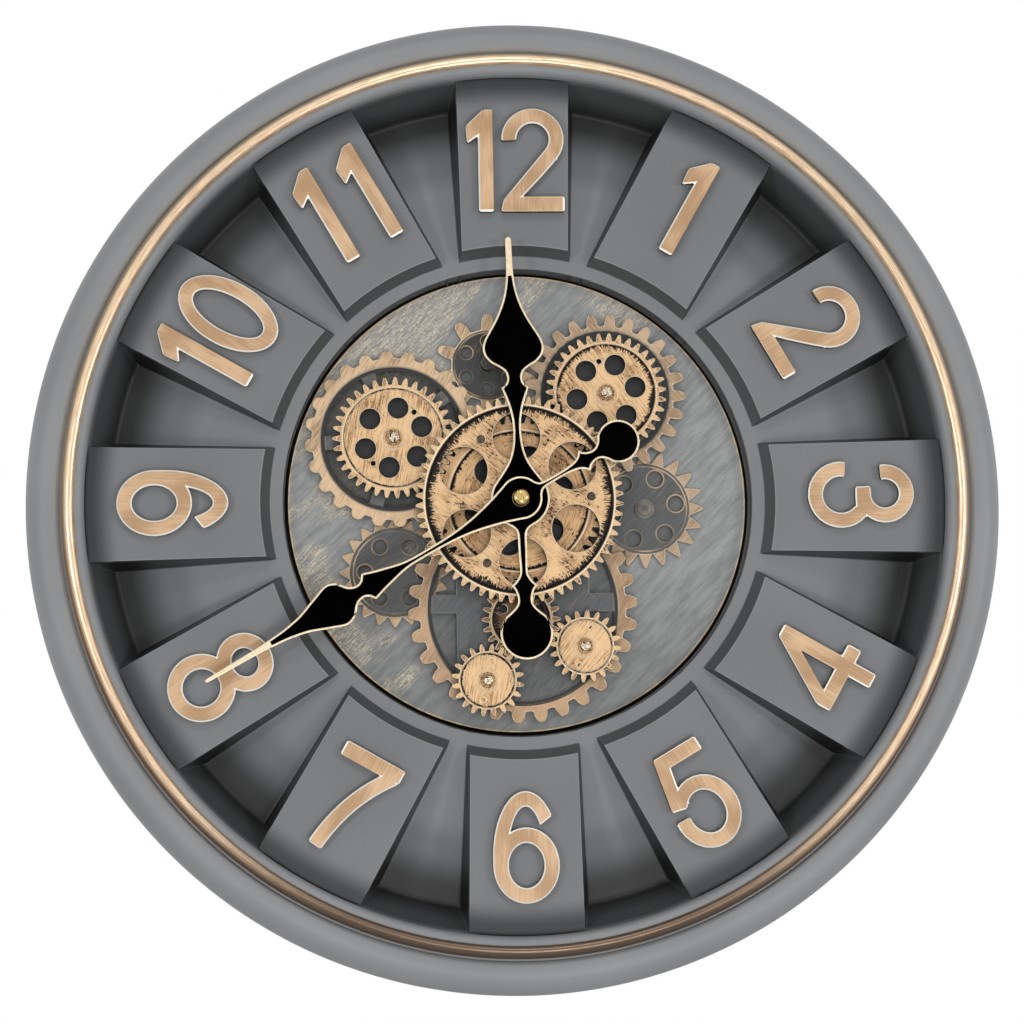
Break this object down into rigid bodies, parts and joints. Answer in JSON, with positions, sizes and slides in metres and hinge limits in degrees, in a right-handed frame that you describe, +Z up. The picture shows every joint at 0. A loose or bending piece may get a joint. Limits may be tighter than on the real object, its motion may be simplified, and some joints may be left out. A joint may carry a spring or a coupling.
{
  "type": "wall clock",
  "caption": "Round wall clock with a deep block dial, raised numerals, two hands and turning gears, hung by a keyhole plate.",
  "frame": {"origin": "centre of the rim's rear face, in the plane of the wall", "axes": "+Z is up, the dial faces -Y, and +Y points into the wall"},
  "size_m": [0.6, 0.075, 0.6],
  "materials": {
    "rim_paint": "satin dark grey",
    "bead_bronze": "brushed pale bronze",
    "dial_paint": "satin mid grey",
    "plate_gunmetal": "dark brushed, bronze rub marks",
    "numeral_bronze": "brushed tan bronze",
    "relief_bronze": "dark with bronze rubbed teeth",
    "gear_patina": "dark streaked patina",
    "pinion_patina": "grey brown patina",
    "hand_gold": "satin gold edge",
    "hand_black": "gloss black",
    "cap_copper": "polished copper brass",
    "brass": "turned brass",
    "steel": "bright steel",
    "case_plastic": "moulded black",
    "rubber": "matt black rubber",
    "panel_board": "black board",
    "zinc": "zinc plated",
    "coil_copper": "enamelled copper wire",
    "board_green": "green laminate",
    "cell_wrap": "printed wrap, bare of words",
    "switch_red": "moulded red"
  },
  "bodies": {
    "clock": {"outer_frame": "rim_paint", "trim_ring": "bead_bronze", "dial_tray": "dial_paint", "gear_plate": "plate_gunmetal", "relief_gear_upper_left": "relief_bronze", "relief_gear_upper_right": "relief_bronze", "relief_gear_top": "relief_bronze", "relief_gear_left": "relief_bronze", "relief_gear_right": "relief_bronze", "relief_gear_lower": "relief_bronze", "gear_studs": "steel", "stud_collars": "pinion_patina", "gear_sleeve": "brass", "movement_case": "case_plastic", "movement_cover": "case_plastic", "movement_bush": "brass", "bush_nut": "brass", "rubber_washer": "rubber", "stepper_coil": "coil_copper", "circuit_board": "board_green", "movement_cell": "cell_wrap", "battery_contacts": "zinc", "drive_housing": "case_plastic", "drive_motor": "steel", "drive_cells": "cell_wrap", "rear_panel": "panel_board", "hanger_plate": "zinc", "screws": "zinc", "wall_bumpers": "rubber", "numeral_1": "numeral_bronze", "numeral_2": "numeral_bronze", "numeral_3": "numeral_bronze", "numeral_4": "numeral_bronze", "numeral_5": "numeral_bronze", "numeral_6": "numeral_bronze", "numeral_7": "numeral_bronze", "numeral_8": "numeral_bronze", "numeral_9": "numeral_bronze", "numeral_10": "numeral_bronze", "numeral_11": "numeral_bronze", "numeral_12": "numeral_bronze"},
    "main_gear": {"main_gear_rear": "gear_patina", "main_gear_front": "gear_patina", "main_gear_rivets": "steel"},
    "upper_left_gear": {"upper_left_gear": "gear_patina"},
    "upper_right_gear": {"upper_right_gear": "gear_patina"},
    "drive_gear": {"drive_gear": "gear_patina", "drive_shaft": "steel"},
    "lower_left_pinion": {"lower_left_pinion": "pinion_patina"},
    "lower_right_pinion": {"lower_right_pinion": "pinion_patina"},
    "minute_hand": {"minute_hand": "hand_gold", "minute_hand_inlay": "hand_black", "minute_arbor": "steel", "cap_nut": "cap_copper"},
    "hour_hand": {"hour_hand": "hand_gold", "hour_hand_inlay": "hand_black", "hour_wheel": "brass"},
    "minute_wheel": {"minute_wheel": "brass"},
    "setting_knob": {"setting_knob": "case_plastic"},
    "switch_slider": {"switch_slider": "switch_red"}
  },
  "joints": [
    {"name": "main_gear_turn", "type": "hinge", "parent": "clock", "child": "main_gear", "pos_m": [0, -0.049, 0], "axis": [0, 1, 0], "continuous": true},
    {"name": "upper_left_gear_turn", "type": "hinge", "parent": "clock", "child": "upper_left_gear", "pos_m": [-0.07546, -0.049, 0.03912], "axis": [0, 1, 0], "continuous": true},
    {"name": "upper_right_gear_turn", "type": "hinge", "parent": "clock", "child": "upper_right_gear", "pos_m": [0.05441, -0.049, 0.0653], "axis": [0, 1, 0], "continuous": true},
    {"name": "drive_gear_turn", "type": "hinge", "parent": "clock", "child": "drive_gear", "pos_m": [0, -0.049, -0.072], "axis": [0, 1, 0], "continuous": true},
    {"name": "lower_left_pinion_turn", "type": "hinge", "parent": "clock", "child": "lower_left_pinion", "pos_m": [-0.02081, -0.049, -0.10848], "axis": [0, 1, 0], "continuous": true},
    {"name": "lower_right_pinion_turn", "type": "hinge", "parent": "clock", "child": "lower_right_pinion", "pos_m": [0.03852, -0.049, -0.08875], "axis": [0, 1, 0], "continuous": true},
    {"name": "minute_hand_turn", "type": "hinge", "parent": "clock", "child": "minute_hand", "pos_m": [0, -0.049, 0], "axis": [0, 1, 0], "continuous": true},
    {"name": "hour_hand_turn", "type": "hinge", "parent": "clock", "child": "hour_hand", "pos_m": [0, -0.049, 0], "axis": [0, 1, 0], "continuous": true},
    {"name": "minute_wheel_turn", "type": "hinge", "parent": "clock", "child": "minute_wheel", "pos_m": [0.00848, -0.049, 0.00848], "axis": [0, 1, 0], "continuous": true},
    {"name": "setting_knob_turn", "type": "hinge", "parent": "clock", "child": "setting_knob", "pos_m": [0.02048, -0.049, 0.00848], "axis": [0, 1, 0], "continuous": true},
    {"name": "switch_slide", "type": "slide", "parent": "clock", "child": "switch_slider", "axis": [1, 0, 0], "range_m": [0, 0.004]}
  ],
  "couplings": [
    {"joint": "upper_left_gear_turn", "follows": "main_gear_turn", "ratio": -1.4286},
    {"joint": "upper_right_gear_turn", "follows": "main_gear_turn", "ratio": -1.4286},
    {"joint": "drive_gear_turn", "follows": "main_gear_turn", "ratio": -2.2727},
    {"joint": "lower_left_pinion_turn", "follows": "main_gear_turn", "ratio": 2.5},
    {"joint": "lower_right_pinion_turn", "follows": "main_gear_turn", "ratio": 2.5},
    {"joint": "hour_hand_turn", "follows": "minute_hand_turn", "ratio": 0.083333},
    {"joint": "minute_wheel_turn", "follows": "minute_hand_turn", "ratio": -0.33333},
    {"joint": "setting_knob_turn", "follows": "minute_hand_turn", "ratio": 1}
  ]
}
